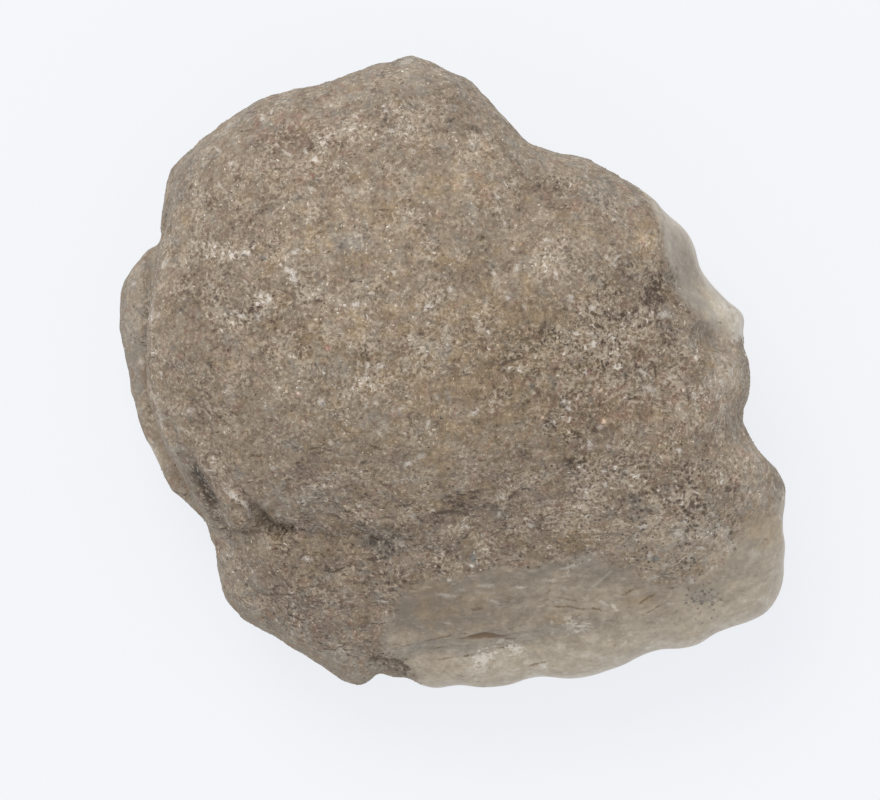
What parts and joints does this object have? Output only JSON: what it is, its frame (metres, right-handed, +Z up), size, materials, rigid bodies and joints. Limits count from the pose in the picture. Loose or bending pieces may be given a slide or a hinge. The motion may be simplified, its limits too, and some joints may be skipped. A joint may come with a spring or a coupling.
{
  "type": "agate geode",
  "caption": "Closed agate geode: a lumpy oval nodule with a gritty taupe rind and smooth grey-beige chalcedony bared along its broken rim, resting on a small flat spot.",
  "frame": {"origin": "on the table under the middle of the outline, inside the flat spot that the stone rests on", "axes": "+Z up through the crown, +X along the longer side of the outline towards the chalcedony corner, +Y towards the small knob on the north rim"},
  "size_m": [0.0902, 0.0847, 0.0462],
  "materials": {
    "stone": "matte"
  },
  "bodies": {
    "root": {"stone": "stone"}
  },
  "joints": []
}
